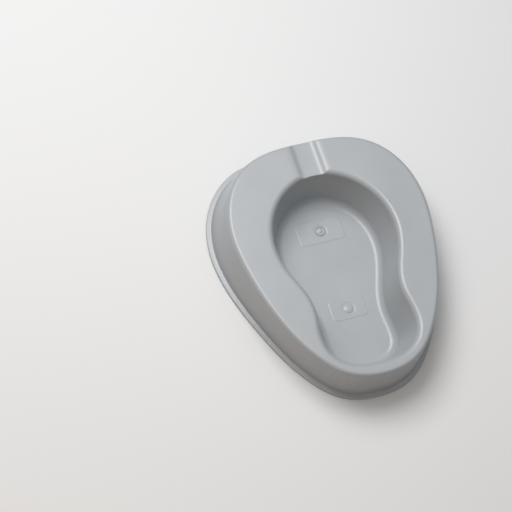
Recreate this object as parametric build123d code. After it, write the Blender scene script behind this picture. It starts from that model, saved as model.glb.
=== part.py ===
from build123d import *
import os

# An adult bedpan: one injection-moulded shell of even wall, open underneath so that pans nest.
# The moulding is cut into its named zones, which meet face to face.
# Millimetres. X is across the pan, +Y points to the wide end with the pouring channel, +Z is up.
# The pan rests on z = 0 and is the same on both sides of x = 0.

# Driving dimensions
HEIGHT = 64.0               # resting face to the seat
WALL = 2.0                  # of the whole moulding
FLOOR_TOP = 5.0             # inside floor of the basin above the resting face
FLANGE_WIDTH = 6.0          # how far the foot flange stands out of the skirt
FLANGE_HEIGHT = 4.0
FLANGE_EDGE_RADIUS = 1.5
SEAT_OUTER_RADIUS = 5.0     # rounding from the seat down into the skirt
SEAT_INNER_RADIUS = 6.0     # rounding from the seat down into the basin
FLOOR_RADIUS = 8.0          # rounding from the basin's wall into its floor

# Pouring channel across the seat at the wide end
CHANNEL_DEPTH = 5.0
CHANNEL_HALF_WIDTH = 19.0   # at the seat
CHANNEL_HALF_FLOOR = 13.0
CHANNEL_RADIUS = 2.5        # of all four corners of its section

# The two round marks where the plastic was injected, and the blank raised panel around each
GATE_RADIUS = 7.5
GATE_HEIGHT = 1.6
GATE_RIM_WIDTH = 1.6
GATE_CENTRE_RADIUS = 2.6
PANEL_HEIGHT = 0.4
PANEL_CORNER = 3.0
PANEL_GAP = 1.0             # between a gate mark and its panel
UPPER_MARK_Y = 60.0
LOWER_MARK_Y = -54.0
UPPER_PANEL_SIZE = (62.0, 34.0)
LOWER_PANEL_SIZE = (48.0, 28.0)

# Outlines: points of the right half, from the wide end to the narrow end
FLANGE_OUTLINE = [
    (0, 178), (44, 177), (80, 171), (112, 151), (138, 115), (150, 64), (143, 5), (122, -58), (83, -133),
    (44, -169), (0, -178),
]
SEAT_OUTLINE = [
    (0, 163), (42, 161), (70, 154), (96, 138), (119, 107), (131, 60), (128, 10), (114, -52), (80, -126),
    (44, -162), (0, -172),
]
OPENING_OUTLINE = [
    (0, 116), (43, 101), (71, 68), (81, 28), (75, -8), (63, -40), (59, -66), (63, -98), (60, -125),
    (38, -148), (0, -155),
]
FLOOR_OUTLINE = [
    (0, 104), (36, 92), (60, 62), (67, 28), (61, -8), (50, -40), (45, -66), (46, -96), (42, -118),
    (26, -133), (0, -137),
]

# Heights at which the moulding is cut into its zones
SEAT_BOTTOM = HEIGHT - 9.0
BASIN_WALL_BOTTOM = FLOOR_TOP + FLOOR_RADIUS + 1.0

CHANNEL_ZONE_HALF_WIDTH = CHANNEL_HALF_WIDTH + 4.0
CHANNEL_ZONE_START = 90.0   # inside the basin, short of the channel

ROUNDING_STEPS = 5          # strips in a quarter round
PAST = 5.0                  # how far a cutting solid runs past the moulding
FAR = 300.0                 # beyond every side of the pan


def closed_curve(half, z=0.0):
    """Smooth closed curve at height z through half an outline and its mirror image."""
    loop = [(x, y, z) for x, y in half]
    loop += [(-x, y, z) for x, y in reversed(half[1:-1])]
    return Spline(*loop, periodic=True)


def grown(half, distance):
    """Half outline moved outwards by a distance, square to the smooth curve through it."""
    curve = closed_curve(half)
    moved = []
    for x, y in half:
        along = curve.tangent_at(curve.param_at_point(Vector(x, y, 0)))
        outwards = Vector(-along.Y, along.X, 0)
        if x == 0:
            outwards = Vector(0, 1 if y > 0 else -1, 0)
        elif outwards.X < 0:
            outwards = -outwards
        moved.append((x + outwards.X * distance, y + outwards.Y * distance))
    return moved


SKIRT_FOOT = grown(FLANGE_OUTLINE, -FLANGE_WIDTH)


def on_wall(low, low_z, high, high_z, z):
    """Outline at height z of a straight wall from one outline at low_z to another at high_z."""
    share = (z - low_z) / (high_z - low_z)
    return [(a + (c - a) * share, b + (d - b) * share) for (a, b), (c, d) in zip(low, high)]


def skirt_at(z):
    """Outer outline of the skirt at height z, without its roundings."""
    return on_wall(SKIRT_FOOT, 0, SEAT_OUTLINE, HEIGHT, z)


def basin_at(z):
    """Inner outline of the basin at height z, without its roundings."""
    return on_wall(FLOOR_OUTLINE, FLOOR_TOP, OPENING_OUTLINE, HEIGHT, z)


def flange_at(z):
    """Outline of the foot flange, the same at every height."""
    return FLANGE_OUTLINE


def quarter_round(level, radius, upwards, outwards):
    """Heights and offsets of a rounding from a wall, at offset 0, to a level face.

    upwards is 1 where the level face is the higher end, outwards is 1 where it lies outside the wall.
    """
    steps = []
    for step in range(ROUNDING_STEPS + 1):
        spoke = Vector(radius, 0, 0).rotate(Axis.Z, 90.0 * step / ROUNDING_STEPS)
        steps.append((level - upwards * (radius - spoke.Y), outwards * (radius - spoke.X)))
    return steps


def shifted(sections, distance):
    """The same sections, each moved outwards by one more distance."""
    return [(z, offset + distance) for z, offset in sections]


def skinned(outline_at, sections):
    """Solid over the outlines at the given heights, each moved outwards by its own offset."""
    faces = [make_face(closed_curve(grown(outline_at(z), offset), z)) for z, offset in sections]
    return loft(faces, ruled=True)


def channel_bar(grow):
    """Bar with the section of the pouring channel, larger all round by grow, along the centre line."""
    floor_z = HEIGHT - CHANNEL_DEPTH - grow
    top_z = HEIGHT + PAST
    half_floor = CHANNEL_HALF_FLOOR + grow
    slope = (CHANNEL_HALF_WIDTH - CHANNEL_HALF_FLOOR) / CHANNEL_DEPTH
    half_top = half_floor + slope * (top_z - floor_z)
    corners = [(-half_floor, floor_z), (half_floor, floor_z), (half_top, top_z), (-half_top, top_z)]
    section = make_face(Polyline(*corners, close=True))
    section = fillet(section.vertices().sort_by(Axis.Y)[:2], CHANNEL_RADIUS + grow)
    return extrude(Plane.XZ * section, -FAR)


def whole_seat():
    """Seat with its roundings down to the skirt and the basin, and the pouring channel across it."""
    top = skinned(skirt_at, [(SEAT_BOTTOM, 0)] + quarter_round(HEIGHT, SEAT_OUTER_RADIUS, 1, -1))
    hole_sections = [(SEAT_BOTTOM - PAST, 0)] + quarter_round(HEIGHT, SEAT_INNER_RADIUS, 1, 1)
    hole = skinned(basin_at, hole_sections + [(HEIGHT + PAST, SEAT_INNER_RADIUS)])
    under = HEIGHT - WALL
    outer_sections = [(SEAT_BOTTOM - PAST, 0)] + quarter_round(under, SEAT_OUTER_RADIUS - WALL, 1, -1)
    inner_sections = [(SEAT_BOTTOM - 2 * PAST, 0)] + quarter_round(under, SEAT_INNER_RADIUS - WALL, 1, 1)
    inner_sections.append((under + PAST, SEAT_INNER_RADIUS - WALL))
    hollow = skinned(skirt_at, shifted(outer_sections, -WALL))
    hollow -= skinned(basin_at, shifted(inner_sections, WALL))
    hollow -= channel_bar(WALL)
    return top - hole - channel_bar(0) - hollow


def channel_zone():
    """Block that holds the pouring channel and a strip of seat on each side of it."""
    length = FAR - CHANNEL_ZONE_START
    middle = CHANNEL_ZONE_START + length / 2
    return Pos(0, middle, HEIGHT) * Box(2 * CHANNEL_ZONE_HALF_WIDTH, length, HEIGHT)


def outer_skirt():
    """Leaning skirt from the foot flange up to the seat's rounding."""
    outside = skinned(skirt_at, [(FLANGE_HEIGHT, 0), (SEAT_BOTTOM, 0)])
    inside = skinned(skirt_at, [(FLANGE_HEIGHT - PAST, -WALL), (SEAT_BOTTOM + PAST, -WALL)])
    return outside - inside


def base_flange():
    """Flange round the foot, with rounded edges, on which the pan rests."""
    lower_edge = list(reversed(quarter_round(0, FLANGE_EDGE_RADIUS, -1, -1)))
    upper_edge = quarter_round(FLANGE_HEIGHT, FLANGE_EDGE_RADIUS, 1, -1)
    plate = skinned(flange_at, lower_edge + upper_edge)
    return plate - skinned(skirt_at, [(-PAST, -WALL), (FLANGE_HEIGHT + PAST, -WALL)])


def basin_wall():
    """Wall of the keyhole basin, between the roundings at its floor and at the seat."""
    outside = skinned(basin_at, [(BASIN_WALL_BOTTOM, WALL), (SEAT_BOTTOM, WALL)])
    return outside - skinned(basin_at, [(BASIN_WALL_BOTTOM - PAST, 0), (SEAT_BOTTOM + PAST, 0)])


def basin_floor():
    """Floor of the basin with the rounding up to its wall."""
    lower_round = list(reversed(quarter_round(FLOOR_TOP - WALL, FLOOR_RADIUS + WALL, -1, -1)))
    upper_round = list(reversed(quarter_round(FLOOR_TOP, FLOOR_RADIUS, -1, -1)))
    outside = skinned(basin_at, shifted(lower_round, WALL) + [(BASIN_WALL_BOTTOM, WALL)])
    return outside - skinned(basin_at, upper_round + [(BASIN_WALL_BOTTOM + PAST, 0)])


def gate_mark(y):
    """Low round mark with a raised rim and a raised centre, on the floor of the basin."""
    disc = Cylinder(GATE_RADIUS, GATE_HEIGHT / 2, align=(Align.CENTER, Align.CENTER, Align.MIN))
    rim = Cylinder(GATE_RADIUS, GATE_HEIGHT, align=(Align.CENTER, Align.CENTER, Align.MIN))
    rim -= Cylinder(GATE_RADIUS - GATE_RIM_WIDTH, 4 * GATE_HEIGHT)
    centre = Cylinder(GATE_CENTRE_RADIUS, GATE_HEIGHT, align=(Align.CENTER, Align.CENTER, Align.MIN))
    return Pos(0, y, FLOOR_TOP) * (disc + rim + centre)


def blank_panel(y, size):
    """Plain raised panel on the floor of the basin, with a round gap for the gate mark."""
    plate = RectangleRounded(*size, PANEL_CORNER) - Circle(GATE_RADIUS + PANEL_GAP)
    return Pos(0, y, FLOOR_TOP) * extrude(plate, PANEL_HEIGHT)


seat = whole_seat()
zones = {
    "seat_deck": seat - channel_zone(),
    "pouring_channel": seat & channel_zone(),
    "outer_skirt": outer_skirt(),
    "base_flange": base_flange(),
    "basin_wall": basin_wall(),
    "basin_floor": basin_floor(),
    "upper_gate_mark": gate_mark(UPPER_MARK_Y),
    "lower_gate_mark": gate_mark(LOWER_MARK_Y),
    "upper_label_panel": blank_panel(UPPER_MARK_Y, UPPER_PANEL_SIZE),
    "lower_label_panel": blank_panel(LOWER_MARK_Y, LOWER_PANEL_SIZE),
}

os.makedirs("parts", exist_ok=True)
for name, zone in zones.items():
    export_step(zone, f"parts/{name}.step")
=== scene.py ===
import math

import bpy
import numpy as np
from mathutils import Matrix, Vector


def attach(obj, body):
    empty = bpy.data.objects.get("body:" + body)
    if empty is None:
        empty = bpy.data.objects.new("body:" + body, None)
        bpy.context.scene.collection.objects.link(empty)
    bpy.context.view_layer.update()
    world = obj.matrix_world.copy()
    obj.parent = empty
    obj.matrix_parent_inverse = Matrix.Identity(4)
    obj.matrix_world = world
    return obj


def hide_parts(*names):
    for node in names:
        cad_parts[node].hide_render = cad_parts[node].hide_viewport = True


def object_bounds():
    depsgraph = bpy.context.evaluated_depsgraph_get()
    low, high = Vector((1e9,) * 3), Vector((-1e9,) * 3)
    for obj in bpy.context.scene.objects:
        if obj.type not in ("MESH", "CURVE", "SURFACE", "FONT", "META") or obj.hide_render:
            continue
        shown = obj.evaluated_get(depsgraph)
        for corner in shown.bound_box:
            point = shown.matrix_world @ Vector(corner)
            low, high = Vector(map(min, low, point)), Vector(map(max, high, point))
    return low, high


# An adult bedpan in light grey polypropylene, one smooth moulding shown as its named zones.
# Shapes are worked out in millimetres, in the frame of the CAD model, and made in metres.

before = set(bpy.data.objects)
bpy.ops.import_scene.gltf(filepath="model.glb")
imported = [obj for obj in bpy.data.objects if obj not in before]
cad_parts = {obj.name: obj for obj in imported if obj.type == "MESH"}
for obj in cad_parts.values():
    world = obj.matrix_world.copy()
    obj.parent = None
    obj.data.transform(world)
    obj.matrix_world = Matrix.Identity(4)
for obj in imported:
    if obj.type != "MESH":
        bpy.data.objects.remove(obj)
cad_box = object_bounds()

MM = 0.001

# ---------------------------------------------------------------- driving dimensions, mm
HEIGHT = (cad_box[1][2] - cad_box[0][2]) / MM
WALL = 2.0
FLOOR_TOP = 5.0
FLANGE_WIDTH = 6.0
FLANGE_HEIGHT = 4.0
FLANGE_EDGE_RADIUS = 1.5
FOOT_RADIUS = 1.2           # of the corner between the flange and the skirt
SEAT_OUTER_RADIUS = 5.0
SEAT_INNER_RADIUS = 6.0
FLOOR_RADIUS = 8.0
SEAT_BOTTOM = HEIGHT - 9.0              # where the seat's zone meets the skirt's and the basin wall's
BASIN_WALL_BOTTOM = FLOOR_TOP + FLOOR_RADIUS + 1.0

CHANNEL_DEPTH = 5.0
CHANNEL_HALF_WIDTH = 19.0
CHANNEL_HALF_FLOOR = 13.0
CHANNEL_SOFTNESS = 5.0      # how far the corners of its section are rounded
CHANNEL_ZONE_HALF_WIDTH = 23.0
CHANNEL_FADE_MARGIN = 4.0   # how far past its zone the channel's last trace ends
CHANNEL_FADE = 5.0          # width over which that trace dies out
CHANNEL_START = 60.0        # the channel lies beyond this y
CHANNEL_BEND = 0.03         # softness of its bend down at the seat's edges
CHANNEL_REACH = 4           # times its depth, below which the walls are not lowered

GATE_RADIUS = 7.5
PANEL_HEIGHT = 0.4
PANEL_GAP = 1               # between a gate mark and its panel
PANEL_BORDER = 1.0          # width of a panel's sloping border
PANEL_LIP = 0.05            # upright edge of a panel below its sloping border
PANEL_SQUARENESS = 9        # of its corners: 2 is an ellipse, and more is squarer
UPPER_MARK_Y = 60.0
LOWER_MARK_Y = -54.0
UPPER_PANEL_SIZE = (62.0, 34.0)
LOWER_PANEL_SIZE = (48.0, 28.0)

# Outlines: points of the right half, from the wide end to the narrow end
FLANGE_OUTLINE = [
    (0, 178), (44, 177), (80, 171), (112, 151), (138, 115), (150, 64), (143, 5), (122, -58), (83, -133),
    (44, -169), (0, -178),
]
SEAT_OUTLINE = [
    (0, 163), (42, 161), (70, 154), (96, 138), (119, 107), (131, 60), (128, 10), (114, -52), (80, -126),
    (44, -162), (0, -172),
]
OPENING_OUTLINE = [
    (0, 116), (43, 101), (71, 68), (81, 28), (75, -8), (63, -40), (59, -66), (63, -98), (60, -125),
    (38, -148), (0, -155),
]
FLOOR_OUTLINE = [
    (0, 104), (36, 92), (60, 62), (67, 28), (61, -8), (50, -40), (45, -66), (46, -96), (42, -118),
    (26, -133), (0, -137),
]

# ---------------------------------------------------------------- colours
COLOUR_DARKER = (0.360, 0.382, 0.401, 1)
COLOUR_LIGHTER = (0.382, 0.403, 0.420, 1)
COLOUR_SCUFF = (0.62, 0.64, 0.65, 1)
COLOUR_FLOOR = (0.70, 0.70, 0.70, 1)
COLOUR_SKY = (1, 1, 1, 1)
COLOUR_WARM = (1.0, 0.55, 0.22)

# ---------------------------------------------------------------- grain, cycles per metre
CLOUD_SCALE = 14            # slow changes of tone and gloss, and sink waves
GRAIN_SCALE = 1400
SCUFF_SCALE = 90
SCUFF_STRETCH = (1, 14, 4)
SCUFF_TURN = 24             # degrees
SINK_DEPTH = 0.0003         # metres
GRAIN_DEPTH = 0.00003       # metres

# ---------------------------------------------------------------- gloss
SMOOTHEST = 0.25            # roughness between scuffs, from cloud to cloud
ROUGHEST = 0.31
SCUFF_ROUGHNESS = 0.10      # added in a scuff
GRAIN_ROUGHNESS = 0.04      # added by the grain
SCUFF_PALENESS = 0.10       # share of the scuff's colour in a scuff
PLASTIC_IOR = 1.49
FLOOR_ROUGHNESS = 0.8

# ---------------------------------------------------------------- mesh fineness
COLUMN_SPACING = 2.0        # along the outlines, mm
CHANNEL_FINENESS = 3        # times as many columns across the channel
ROUND_STEPS = 12            # strips in a quarter round
WALL_STEPS = 10             # strips up the skirt, and down the basin's wall
SEAT_STEPS = 14             # strips across the seat
FLOOR_STEPS = 24            # strips across the basin's floor
ROUND_SIDES = 96            # sides of a gate mark
GATE_STEPS = 60             # strips from a gate mark's middle to its edge


# ---------------------------------------------------------------- smooth outlines
def whole(half):
    """Closed outline from its right half."""
    right = np.array(half, float)
    left = right[-2:0:-1] * (-1, 1)
    return np.vstack([right, left])


def smooth_closed(points, places):
    """Positions and outward directions at the given places on the smooth closed curve through the points.

    A place is the number of a point, plus the share of the way to the next one.
    """
    count = len(points)
    gaps = np.linalg.norm(np.roll(points, -1, 0) - points, axis=1)
    gaps_before = np.roll(gaps, 1)
    slopes = (np.roll(points, -1, 0) - points) / gaps[:, None]
    matrix = np.diag(2 * (gaps + gaps_before))
    for i in range(count):
        matrix[i, i - 1] += gaps_before[i]
        matrix[i, (i + 1) % count] += gaps[i]
    bends = np.linalg.solve(matrix, 6 * (slopes - np.roll(slopes, 1, 0)))
    start = np.floor(places).astype(int) % count
    end = (start + 1) % count
    gap = gaps[start][:, None]
    done = (places % 1)[:, None] * gap
    left = gap - done
    from_end = points[end] / gap - bends[end] * gap / 6
    from_start = points[start] / gap - bends[start] * gap / 6
    position = (bends[start] * left ** 3 + bends[end] * done ** 3) / (6 * gap)
    position += from_end * done + from_start * left
    along = (bends[end] * done ** 2 - bends[start] * left ** 2) / (2 * gap) + from_end - from_start
    along /= np.linalg.norm(along, axis=1)[:, None]
    outwards = np.stack([-along[:, 1], along[:, 0]], 1)
    return position, outwards


def grown(half, distance):
    """Half outline moved outwards by a distance."""
    position, outwards = smooth_closed(whole(half), np.arange(len(half), dtype=float))
    return position + outwards * distance


def column_places():
    """Places of the mesh's columns: all round the outlines, closer together across the channel."""
    points = whole(SEAT_OUTLINE)
    lengths = np.linalg.norm(np.diff(points[:len(SEAT_OUTLINE)], axis=0), axis=1)
    right = [0.0]
    for i, length in enumerate(lengths):
        steps = round(length / COLUMN_SPACING) * (CHANNEL_FINENESS if i == 0 else 1)
        right += [i + (step + 1) / steps for step in range(steps)]
    right = np.array(right)
    left = len(points) - right[-2:0:-1]
    return np.concatenate([right, left])


PLACES = column_places()
COLUMNS = len(PLACES)
HALF = COLUMNS // 2         # the column at the middle of the narrow end
SKIRT_FOOT = grown(FLANGE_OUTLINE, -FLANGE_WIDTH)


def ring(half, z, offset=0.0):
    """Ring of vertices on an outline at height z, moved outwards by offset."""
    position, outwards = smooth_closed(whole(half), PLACES)
    position = position + outwards * offset
    return np.column_stack([position, np.full(COLUMNS, z)])


def on_wall(low, low_z, high, high_z, z):
    """Half outline at height z of a straight wall from one outline to another."""
    share = (z - low_z) / (high_z - low_z)
    return np.array(low) * (1 - share) + np.array(high) * share


def skirt(z, offset=0.0):
    """Ring on the outside of the skirt."""
    return ring(on_wall(SKIRT_FOOT, 0, SEAT_OUTLINE, HEIGHT, z), z, offset)


def basin(z, offset=0.0):
    """Ring on the inside of the basin's wall."""
    return ring(on_wall(FLOOR_OUTLINE, FLOOR_TOP, OPENING_OUTLINE, HEIGHT, z), z, offset)


def quarter(radius):
    """(distance along the wall, distance from the wall) of points on a rounding that leaves the wall."""
    angles = [math.pi / 2 * step / ROUND_STEPS for step in range(1, ROUND_STEPS + 1)]
    return [(radius * math.sin(a), radius * (1 - math.cos(a))) for a in angles]


# ---------------------------------------------------------------- the moulding's two surfaces
def moulding_surface(inset):
    """Rings from the skirt's foot over the seat and down to the basin's floor, and where the zones meet.

    inset is the depth of the surface inside the plastic: 0 for the side that shows.
    """
    foot = FLANGE_HEIGHT + FOOT_RADIUS
    rings = [skirt(z, -inset) for z in np.linspace(foot, SEAT_BOTTOM, WALL_STEPS + 1)]
    skirt_end = len(rings) - 1
    start = HEIGHT - SEAT_OUTER_RADIUS
    rings.append(skirt(start, -inset))
    rings += [skirt(start + up, -inset - inwards) for up, inwards in quarter(SEAT_OUTER_RADIUS - inset)]
    outer_edge = rings[-1]
    start = HEIGHT - SEAT_INNER_RADIUS
    inner_quarter = quarter(SEAT_INNER_RADIUS - inset)
    inner_round = [basin(start + up, inset + outwards) for up, outwards in inner_quarter]
    inner_edge = inner_round[-1]
    for share in np.linspace(0, 1, SEAT_STEPS + 1)[1:-1]:
        rings.append(outer_edge * (1 - share) + inner_edge * share)
    rings += inner_round[::-1]
    rings.append(basin(start, inset))
    rings.append(basin(SEAT_BOTTOM, inset))
    seat_end = len(rings) - 1
    rings += [basin(z, inset) for z in np.linspace(SEAT_BOTTOM, BASIN_WALL_BOTTOM, WALL_STEPS + 1)[1:]]
    wall_end = len(rings) - 1
    start = FLOOR_TOP + FLOOR_RADIUS
    rings.append(basin(start, inset))
    rings += [basin(start - down, inset - inwards) for down, inwards in quarter(FLOOR_RADIUS + inset)]
    return cut_channel(np.array(rings), inset), skirt_end, seat_end, wall_end


def channel_depth(x, half_floor, half_width):
    """Depth of the pouring channel at a distance x from its middle, with soft corners."""
    run = (half_width - np.abs(x)) / (half_width - half_floor)
    soft = CHANNEL_SOFTNESS / (half_width - half_floor)
    rise = (run + np.sqrt(run ** 2 + soft ** 2 / 4)) / 2
    level = (run - 1 + np.sqrt((run - 1) ** 2 + soft ** 2 / 4)) / 2
    last_trace = CHANNEL_ZONE_HALF_WIDTH + CHANNEL_FADE_MARGIN
    fade = np.clip((last_trace - np.abs(x)) / CHANNEL_FADE, 0, 1)
    return CHANNEL_DEPTH * (rise - level) * fade


def cut_channel(rings, inset):
    """The surface lowered where the pouring channel crosses the seat."""
    lowered = rings.copy()
    depth = channel_depth(rings[..., 0], CHANNEL_HALF_FLOOR + inset, CHANNEL_HALF_WIDTH + inset)
    depth *= rings[..., 1] > CHANNEL_START
    fallen = (HEIGHT - inset - rings[..., 2]) / np.maximum(depth, 1e-6)
    share = (1 - fallen) + np.sqrt((1 - fallen) ** 2 + CHANNEL_BEND)
    share /= 1 + math.sqrt(1 + CHANNEL_BEND)
    share[fallen > CHANNEL_REACH] = 0
    lowered[..., 2] -= depth * share
    return lowered


def grid_normals(rings, side):
    """Unit normals of a surface, upwards and outwards for side 1, and the other way for side -1."""
    around = np.roll(rings, -1, 1) - np.roll(rings, 1, 1)
    across = np.gradient(rings, axis=0)
    normals = np.cross(across, around) * side
    normals /= np.linalg.norm(normals, axis=2)[..., None]
    normals[-1] = (0, 0, side)
    return normals


shown, SKIRT_END, SEAT_END, WALL_END = moulding_surface(0)
hidden = moulding_surface(WALL)[0]
shown_normals = grid_normals(shown, 1)
hidden_normals = grid_normals(hidden, -1)


# ---------------------------------------------------------------- making pieces
def make_object(name, vertices, faces, corner_normals=None, sharp_angle=None):
    """Object from vertices in millimetres, shaded smooth."""
    mesh = bpy.data.meshes.new(name)
    mesh.from_pydata([tuple(v) for v in np.array(vertices) * MM], [], faces)
    mesh.update()
    mesh.shade_smooth()
    if sharp_angle is not None:
        mesh.set_sharp_from_angle(angle=math.radians(sharp_angle))
    if corner_normals is not None:
        mesh.normals_split_custom_set([tuple(n) for n in corner_normals])
    piece = bpy.data.objects.new(name, mesh)
    bpy.context.scene.collection.objects.link(piece)
    return piece


class Shell:
    """Vertices, faces and corner normals of one closed piece of the moulding."""

    def __init__(self):
        self.vertices = []
        self.directions = []
        self.faces = []
        self.corner_normals = []

    def grid(self, points, directions):
        """Numbers of the vertices added for a grid of points."""
        first = len(self.vertices)
        self.vertices += list(points.reshape(-1, 3))
        self.directions += list(directions.reshape(-1, 3))
        return first + np.arange(points.shape[0] * points.shape[1]).reshape(points.shape[:2])

    def face(self, corners, flat=False):
        """A face, with the surface's own normals at its corners or one flat normal."""
        corners = [int(c) for c in corners]
        self.faces.append(corners)
        if flat:
            a, b, c = (self.vertices[corners[i]] for i in range(3))
            direction = np.cross(b - a, c - a)
            direction = direction / max(np.linalg.norm(direction), 1e-12)
            self.corner_normals += [direction] * len(corners)
        else:
            self.corner_normals += [self.directions[c] for c in corners]

    def strip(self, one, other, wrap, flat=False):
        """Quads between two rows of vertex numbers."""
        for i in range(len(one) - (0 if wrap else 1)):
            j = (i + 1) % len(one)
            self.face((one[i], other[i], other[j], one[j]), flat)

    def piece(self, name):
        return make_object(name, self.vertices, self.faces, self.corner_normals)


def zone(name, first, last, columns, wrap):
    """Closed piece of the moulding between two rings, over the given columns."""
    shell = Shell()
    rows = slice(first, last + 1)
    upper = shell.grid(shown[rows][:, columns], shown_normals[rows][:, columns])
    lower = shell.grid(hidden[rows][:, columns], hidden_normals[rows][:, columns])
    for i in range(len(upper) - 1):
        shell.strip(upper[i], upper[i + 1], wrap)
        shell.strip(lower[i + 1], lower[i], wrap)
    shell.strip(lower[0], upper[0], wrap, flat=True)
    shell.strip(upper[-1], lower[-1], wrap, flat=True)
    if not wrap:
        shell.strip(upper[:, 0], lower[:, 0], False, flat=True)
        shell.strip(lower[:, -1], upper[:, -1], False, flat=True)
    return shell.piece(name)


def ladder(shell, edge, z, up):
    """Level floor inside a ring of vertex numbers: rungs from each column to its mirror image."""
    def rung(k):
        right, left = edge[k], edge[(COLUMNS - k) % COLUMNS]
        if right == left:
            return [right] * (FLOOR_STEPS + 1)
        a, b = shell.vertices[right], shell.vertices[left]
        shares = np.linspace(0, 1, FLOOR_STEPS + 1)[1:-1]
        points = np.array([[a * (1 - share) + b * share for share in shares]])
        points[..., 2] = z
        inner = shell.grid(points, np.zeros_like(points) + (0, 0, 1 if up else -1))
        return [right, *inner[0], left]

    before = rung(0)
    for k in range(1, HALF + 1):
        after = rung(k)
        for i in range(FLOOR_STEPS):
            corners = [before[i], after[i], after[i + 1], before[i + 1]]
            corners = [c for n, c in enumerate(corners) if c not in corners[:n]]
            shell.face(corners if not up else corners[::-1])
        before = after


def make_basin_floor():
    """Floor of the basin with the rounding up to its wall."""
    shell = Shell()
    upper = shell.grid(shown[WALL_END:], shown_normals[WALL_END:])
    lower = shell.grid(hidden[WALL_END:], hidden_normals[WALL_END:])
    for i in range(len(upper) - 1):
        shell.strip(upper[i], upper[i + 1], True)
        shell.strip(lower[i + 1], lower[i], True)
    shell.strip(lower[0], upper[0], True, flat=True)
    ladder(shell, upper[-1], FLOOR_TOP, True)
    ladder(shell, lower[-1], FLOOR_TOP - WALL, False)
    return shell.piece("basin_floor_moulding")


def make_base_flange():
    """Flange round the foot, with rounded edges and a soft corner up to the skirt."""
    radius = FLANGE_EDGE_RADIUS
    rings = [skirt(FLANGE_HEIGHT + FOOT_RADIUS)]
    for up, outwards in quarter(FOOT_RADIUS)[::2]:
        rings.append(skirt(FLANGE_HEIGHT + FOOT_RADIUS - up, outwards))
    rings.append(ring(FLANGE_OUTLINE, FLANGE_HEIGHT, -radius))
    for up, inwards in quarter(radius)[-2::-2]:
        rings.append(ring(FLANGE_OUTLINE, FLANGE_HEIGHT - radius + up, -inwards))
    rings.append(ring(FLANGE_OUTLINE, FLANGE_HEIGHT - radius))
    rings.append(ring(FLANGE_OUTLINE, radius))
    for down, inwards in quarter(radius)[1::2]:
        rings.append(ring(FLANGE_OUTLINE, radius - down, -inwards))
    rings.append(skirt(0, -WALL))
    rings.append(skirt(FLANGE_HEIGHT + FOOT_RADIUS, -WALL))
    faces = []
    for i in range(len(rings)):
        for j in range(COLUMNS):
            here, there = i * COLUMNS, (i + 1) % len(rings) * COLUMNS
            after = (j + 1) % COLUMNS
            faces.append((here + j, here + after, there + after, there + j))
    return make_object("base_flange_moulding", np.vstack(rings), faces, sharp_angle=40)


# ---------------------------------------------------------------- small marks on the floor
def turned(name, y, profile):
    """Solid of revolution on the basin's floor: the profile runs from its middle to its edge."""
    vertices = []
    faces = []
    for radius, height in profile[1:] + [(profile[-1][0], 0.0)]:
        for side in range(ROUND_SIDES):
            angle = 2 * math.pi * side / ROUND_SIDES
            vertices.append((radius * math.cos(angle), y + radius * math.sin(angle), FLOOR_TOP + height))
    top = len(vertices)
    vertices.append((0, y, FLOOR_TOP + profile[0][1]))
    bottom = len(vertices)
    vertices.append((0, y, FLOOR_TOP))
    rows = len(profile)
    for side in range(ROUND_SIDES):
        after = (side + 1) % ROUND_SIDES
        faces.append((top, side, after))
        for row in range(rows - 1):
            one, other = row * ROUND_SIDES, (row + 1) * ROUND_SIDES
            faces.append((one + side, other + side, other + after, one + after))
        last = (rows - 1) * ROUND_SIDES
        faces.append((bottom, last + after, last + side))
    return make_object(name, vertices, faces, sharp_angle=60)


def make_upper_gate_mark():
    """Low disc with a rounded rim and a rounded centre."""
    disc_height, edge_height = 0.1, 0.05
    rim_height, rim_radius, rim_width = 1.2, 6.1, 0.8
    centre_height, centre_radius = 1.4, 3.2
    profile = []
    for step in range(GATE_STEPS):
        radius = GATE_RADIUS * step / GATE_STEPS
        rim = math.exp(-((radius - rim_radius) / rim_width) ** 2)
        centre = math.exp(-(radius / centre_radius) ** 3)
        profile.append((radius, disc_height + rim_height * rim + centre_height * centre))
    profile.append((GATE_RADIUS, edge_height))
    return turned("upper_gate_ring", UPPER_MARK_Y, profile)


def make_lower_gate_mark():
    """Smooth low dome on a thin disc."""
    disc_height, edge_height = 0.05, 0.03
    dome_height, dome_radius, dome_fullness = 1.5, 6.4, 0.6
    profile = []
    for step in range(GATE_STEPS):
        radius = GATE_RADIUS * step / GATE_STEPS
        dome = max(0.0, 1 - (radius / dome_radius) ** 2) ** dome_fullness
        profile.append((radius, disc_height + dome_height * dome))
    profile.append((GATE_RADIUS, edge_height))
    return turned("lower_gate_dome", LOWER_MARK_Y, profile)


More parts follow.
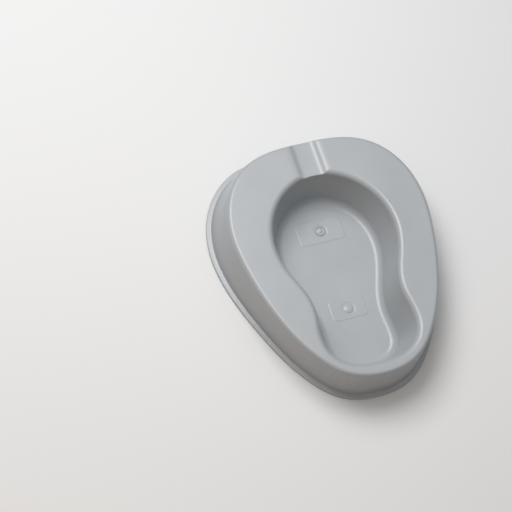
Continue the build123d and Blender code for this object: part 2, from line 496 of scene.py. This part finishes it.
def make_blank_panel(name, y, size):
    """Plain raised panel with rounded corners, soft edges and a round gap for the gate mark."""
    sides = 4 * ROUND_SIDES

    def outer(shrink, height):
        loop = []
        for side in range(sides):
            angle = 2 * math.pi * side / sides
            a = abs(math.cos(angle)) / (size[0] / 2 - shrink)
            b = abs(math.sin(angle)) / (size[1] / 2 - shrink)
            radius = (a ** PANEL_SQUARENESS + b ** PANEL_SQUARENESS) ** (-1 / PANEL_SQUARENESS)
            loop.append((radius * math.cos(angle), y + radius * math.sin(angle), FLOOR_TOP + height))
        return loop

    def inner(grow, height):
        radius = GATE_RADIUS + PANEL_GAP + grow
        loop = []
        for side in range(sides):
            angle = 2 * math.pi * side / sides
            loop.append((radius * math.cos(angle), y + radius * math.sin(angle), FLOOR_TOP + height))
        return loop

    loops = [
        inner(0, 0), inner(0, PANEL_LIP), inner(PANEL_BORDER, PANEL_HEIGHT),
        outer(PANEL_BORDER, PANEL_HEIGHT), outer(0, PANEL_LIP), outer(0, 0),
    ]
    faces = []
    for i in range(len(loops)):
        for j in range(sides):
            here, there = i * sides, (i + 1) % len(loops) * sides
            after = (j + 1) % sides
            faces.append((here + j, there + j, there + after, here + after))
    return make_object(name, np.vstack(loops), faces, sharp_angle=10)


# ---------------------------------------------------------------- material
def plastic(name, grain):
    """Satin polypropylene: fine moulded grain, slight sink waves, faint scuffs. grain scales its grain."""
    material = bpy.data.materials.new(name)
    material.use_nodes = True
    nodes = material.node_tree.nodes
    links = material.node_tree.links
    shader = nodes["Principled BSDF"]
    place = nodes.new("ShaderNodeTexCoord")

    def noise(scale, detail, roughness=0.5, stretch=None):
        source = place.outputs["Object"]
        if stretch:
            mapping = nodes.new("ShaderNodeMapping")
            mapping.inputs["Scale"].default_value = stretch
            mapping.inputs["Rotation"].default_value = (0, 0, math.radians(SCUFF_TURN))
            links.new(source, mapping.inputs["Vector"])
            source = mapping.outputs["Vector"]
        node = nodes.new("ShaderNodeTexNoise")
        node.inputs["Scale"].default_value = scale
        node.inputs["Detail"].default_value = detail
        node.inputs["Roughness"].default_value = roughness
        links.new(source, node.inputs["Vector"])
        return node.outputs["Fac"]

    def remap(value, low, high, to_low, to_high):
        node = nodes.new("ShaderNodeMapRange")
        node.inputs["From Min"].default_value = low
        node.inputs["From Max"].default_value = high
        node.inputs["To Min"].default_value = to_low
        node.inputs["To Max"].default_value = to_high
        links.new(value, node.inputs["Value"])
        return node.outputs["Result"]

    def total(a, b):
        node = nodes.new("ShaderNodeMath")
        node.operation = "ADD"
        links.new(a, node.inputs[0])
        links.new(b, node.inputs[1])
        return node.outputs["Value"]

    clouds = noise(CLOUD_SCALE, 3)
    fine = noise(GRAIN_SCALE, 2)
    scuffs = remap(noise(SCUFF_SCALE, 4, 0.6, stretch=SCUFF_STRETCH), 0.62, 0.78, 0, 1)

    tone = nodes.new("ShaderNodeValToRGB")
    tone.color_ramp.elements[0].position = 0.3
    tone.color_ramp.elements[0].color = COLOUR_DARKER
    tone.color_ramp.elements[1].position = 0.7
    tone.color_ramp.elements[1].color = COLOUR_LIGHTER
    links.new(clouds, tone.inputs["Fac"])
    paler = nodes.new("ShaderNodeMix")
    paler.data_type = "RGBA"
    paler.inputs["B"].default_value = COLOUR_SCUFF
    links.new(remap(scuffs, 0, 1, 0, SCUFF_PALENESS), paler.inputs["Factor"])
    links.new(tone.outputs["Color"], paler.inputs["A"])
    links.new(paler.outputs["Result"], shader.inputs["Base Color"])

    smooth = remap(clouds, 0.3, 0.7, SMOOTHEST, ROUGHEST)
    gloss = total(smooth, remap(scuffs, 0, 1, 0, SCUFF_ROUGHNESS))
    gloss = total(gloss, remap(fine, 0.3, 0.7, 0, GRAIN_ROUGHNESS))
    links.new(gloss, shader.inputs["Roughness"])

    sink = nodes.new("ShaderNodeBump")
    sink.inputs["Strength"].default_value = 1.0
    sink.inputs["Distance"].default_value = SINK_DEPTH
    links.new(clouds, sink.inputs["Height"])
    bump = nodes.new("ShaderNodeBump")
    bump.inputs["Strength"].default_value = 0.5
    bump.inputs["Distance"].default_value = GRAIN_DEPTH * grain
    links.new(fine, bump.inputs["Height"])
    links.new(sink.outputs["Normal"], bump.inputs["Normal"])
    links.new(bump.outputs["Normal"], shader.inputs["Normal"])

    shader.inputs["IOR"].default_value = PLASTIC_IOR
    return material


body_plastic = plastic("grey_polypropylene_moulded", 1.0)
panel_plastic = plastic("grey_polypropylene_fine_matt", 3.0)


# ---------------------------------------------------------------- the pieces
def place_piece(piece, node, material):
    """The piece stands for its CAD node."""
    piece.data.materials.append(material)
    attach(piece, "root")
    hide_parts(node)


everywhere = np.arange(COLUMNS)
edge_x = np.abs(shown[SEAT_END][:, 0])
channel_columns = int(np.sum(edge_x[:HALF // 2] < CHANNEL_ZONE_HALF_WIDTH))
deck_columns = np.arange(channel_columns, COLUMNS - channel_columns + 1)
pouring_columns = np.arange(-channel_columns, channel_columns + 1) % COLUMNS

place_piece(make_base_flange(), "base_flange", body_plastic)
place_piece(zone("outer_skirt_moulding", 0, SKIRT_END, everywhere, True), "outer_skirt", body_plastic)
place_piece(
    zone("seat_deck_moulding", SKIRT_END, SEAT_END, deck_columns, False),
    "seat_deck", body_plastic,
)
place_piece(
    zone("pouring_channel_moulding", SKIRT_END, SEAT_END, pouring_columns, False),
    "pouring_channel", body_plastic,
)
place_piece(zone("basin_wall_moulding", SEAT_END, WALL_END, everywhere, True), "basin_wall", body_plastic)
place_piece(make_basin_floor(), "basin_floor", body_plastic)
place_piece(make_upper_gate_mark(), "upper_gate_mark", body_plastic)
place_piece(make_lower_gate_mark(), "lower_gate_mark", body_plastic)
place_piece(
    make_blank_panel("upper_blank_panel", UPPER_MARK_Y, UPPER_PANEL_SIZE),
    "upper_label_panel", panel_plastic,
)
place_piece(
    make_blank_panel("lower_blank_panel", LOWER_MARK_Y, LOWER_PANEL_SIZE),
    "lower_label_panel", panel_plastic,
)


# ---------------------------------------------------------------- floor
def make_floor():
    """Plain pale studio floor."""
    size = 6.0              # metres from its middle to each side
    gap = 0.0002            # metres below the pan's foot
    z = cad_box[0][2] - gap
    corners = [(-size, -size, z), (size, -size, z), (size, size, z), (-size, size, z)]
    mesh = bpy.data.meshes.new("studio_floor")
    mesh.from_pydata(corners, [], [(0, 1, 2, 3)])
    floor = bpy.data.objects.new("studio_floor", mesh)
    bpy.context.scene.collection.objects.link(floor)
    material = bpy.data.materials.new("studio_floor_white")
    material.use_nodes = True
    shader = material.node_tree.nodes["Principled BSDF"]
    shader.inputs["Base Color"].default_value = COLOUR_FLOOR
    shader.inputs["Roughness"].default_value = FLOOR_ROUGHNESS
    mesh.materials.append(material)


make_floor()


# ---------------------------------------------------------------- light
LIGHT_TARGET = (0, 0, 0.03)     # metres: the middle of the pan
SKY_DARK_BELOW = 0.3            # height on the sky, from 0 at the horizon to 1 overhead
SKY_STRENGTH = 0.8              # overhead


def area_light(name, place, size, power, colour=(1, 1, 1)):
    """Soft square light at a place, turned to the middle of the pan."""
    data = bpy.data.lights.new(name, "AREA")
    data.size = size
    data.energy = power
    data.color = colour
    light = bpy.data.objects.new(name, data)
    light.location = place
    light.rotation_euler = (Vector(LIGHT_TARGET) - Vector(place)).to_track_quat("-Z", "Y").to_euler()
    bpy.context.scene.collection.objects.link(light)


def make_sky():
    """White studio sky: dark from the horizon up to a height, then brighter to straight overhead."""
    world = bpy.data.worlds.new("studio")
    bpy.context.scene.world = world
    world.use_nodes = True
    nodes = world.node_tree.nodes
    links = world.node_tree.links
    background = nodes["Background"]
    background.inputs["Color"].default_value = COLOUR_SKY
    place = nodes.new("ShaderNodeTexCoord")
    height = nodes.new("ShaderNodeSeparateXYZ")
    strength = nodes.new("ShaderNodeMapRange")
    strength.inputs["From Min"].default_value = SKY_DARK_BELOW
    strength.inputs["From Max"].default_value = 1.0
    strength.inputs["To Min"].default_value = 0.0
    strength.inputs["To Max"].default_value = SKY_STRENGTH
    links.new(place.outputs["Generated"], height.inputs["Vector"])
    links.new(height.outputs["Z"], strength.inputs["Value"])
    links.new(strength.outputs["Result"], background.inputs["Strength"])


area_light("key_from_wide_end", place=(-0.35, 0.75, 1.50), size=1.0, power=23)
area_light("warm_low_fill", place=(-0.95, -1.0, 0.45), size=0.4, power=1.8, colour=COLOUR_WARM)
make_sky()

bpy.context.scene.view_settings.view_transform = "Standard"
bpy.context.scene.view_settings.look = "None"


# ---------------------------------------------------------------- camera
CAMERA_PLACE = Vector((-0.907, -1.151, 2.885))     # metres
CAMERA_SIDE = -34.2         # degrees round from the narrow end
CAMERA_RISE = 63.3          # degrees above the resting face
CAMERA_ROLL = -19.4         # degrees about its own line of sight
LENS = 175.8                # mm, on a sensor 36 mm wide


def make_camera():
    """Camera that looks down on the pan from beside its narrow end, tilted about its line of sight."""
    rise, side, roll = (math.radians(angle) for angle in (CAMERA_RISE, CAMERA_SIDE, CAMERA_ROLL))
    back = Vector((math.cos(rise) * math.sin(side), -math.cos(rise) * math.cos(side), math.sin(rise)))
    level = Vector((0, 1, 0)).cross(back).normalized()
    upright = back.cross(level)
    right = level * math.cos(roll) + upright * math.sin(roll)
    up = upright * math.cos(roll) - level * math.sin(roll)
    data = bpy.data.cameras.new("camera")
    data.lens = LENS
    data.sensor_width = 36
    data.clip_end = 50
    camera = bpy.data.objects.new("camera", data)
    turn = Matrix((right, up, back)).transposed().to_4x4()
    camera.matrix_world = Matrix.Translation(CAMERA_PLACE) @ turn
    bpy.context.scene.collection.objects.link(camera)
    bpy.context.scene.camera = camera


make_camera()
